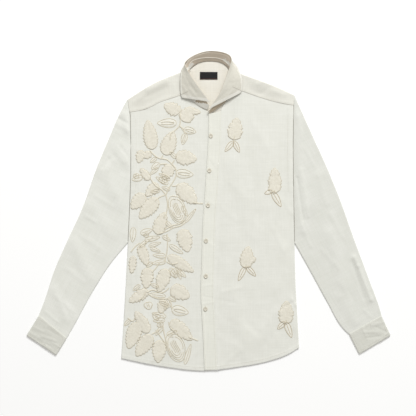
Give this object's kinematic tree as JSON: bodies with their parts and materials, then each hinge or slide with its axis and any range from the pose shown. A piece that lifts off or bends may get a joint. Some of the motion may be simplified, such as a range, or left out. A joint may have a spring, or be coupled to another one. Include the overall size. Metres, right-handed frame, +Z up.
{
  "type": "embroidered linen shirt",
  "caption": "Long-sleeved shirt of cream linen with a turned collar, a buttoned front band and raised flower and leaf embroidery, laid flat with its front up.",
  "frame": {"origin": "middle of the whole shirt's outline, on the flat surface that it rests on", "axes": "+X to the wearer's left, +Y from the hem to the neck, +Z up out of the front"},
  "size_m": [0.9264, 0.8142, 0.0222],
  "materials": {
    "linen": "plain woven linen, matte",
    "band_linen": "doubled linen, matte, stitched along both edges",
    "shell_button": "soft gloss, shell-like",
    "label_cloth": "black woven, blank"
  },
  "bodies": {
    "root": {"back": "linen", "yoke": "linen", "front_right": "linen", "front_left": "linen", "sleeve_right": "linen", "sleeve_left": "linen", "cuff_right": "linen", "cuff_left": "linen", "collar_stand": "linen", "collar_leaf": "linen", "button_band": "band_linen", "button_1": "shell_button", "button_2": "shell_button", "button_3": "shell_button", "button_4": "shell_button", "button_5": "shell_button", "button_6": "shell_button", "neck_label": "label_cloth"}
  },
  "joints": []
}
